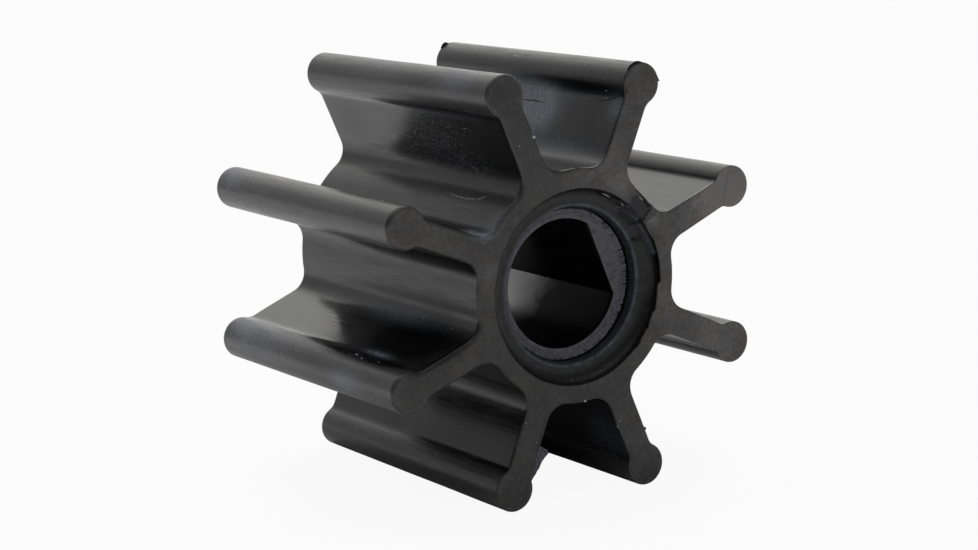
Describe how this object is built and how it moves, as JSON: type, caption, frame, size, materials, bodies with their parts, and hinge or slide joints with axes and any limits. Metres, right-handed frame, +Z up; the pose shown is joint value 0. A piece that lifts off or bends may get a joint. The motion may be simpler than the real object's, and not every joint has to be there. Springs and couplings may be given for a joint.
{
  "type": "rubber pump impeller",
  "caption": "Flexible-vane rubber impeller with round vane tips, moulded on a D-bored drive insert with a dished recess in each hub end.",
  "frame": {"origin": "centre of the drive bore at mid-length, which is also the middle of the overall box", "axes": "Y along the shaft axis with the front end at -Y, +Z up, standing on two vane tips"},
  "size_m": [0.0532, 0.0426, 0.0532],
  "materials": {
    "rubber": "moulded black rubber, dull on the ends and satin along the vanes",
    "insert": "black moulded composite, fine grained end face and smooth bore"
  },
  "bodies": {
    "root": {"rubber_impeller": "rubber", "drive_insert": "insert"}
  },
  "joints": []
}
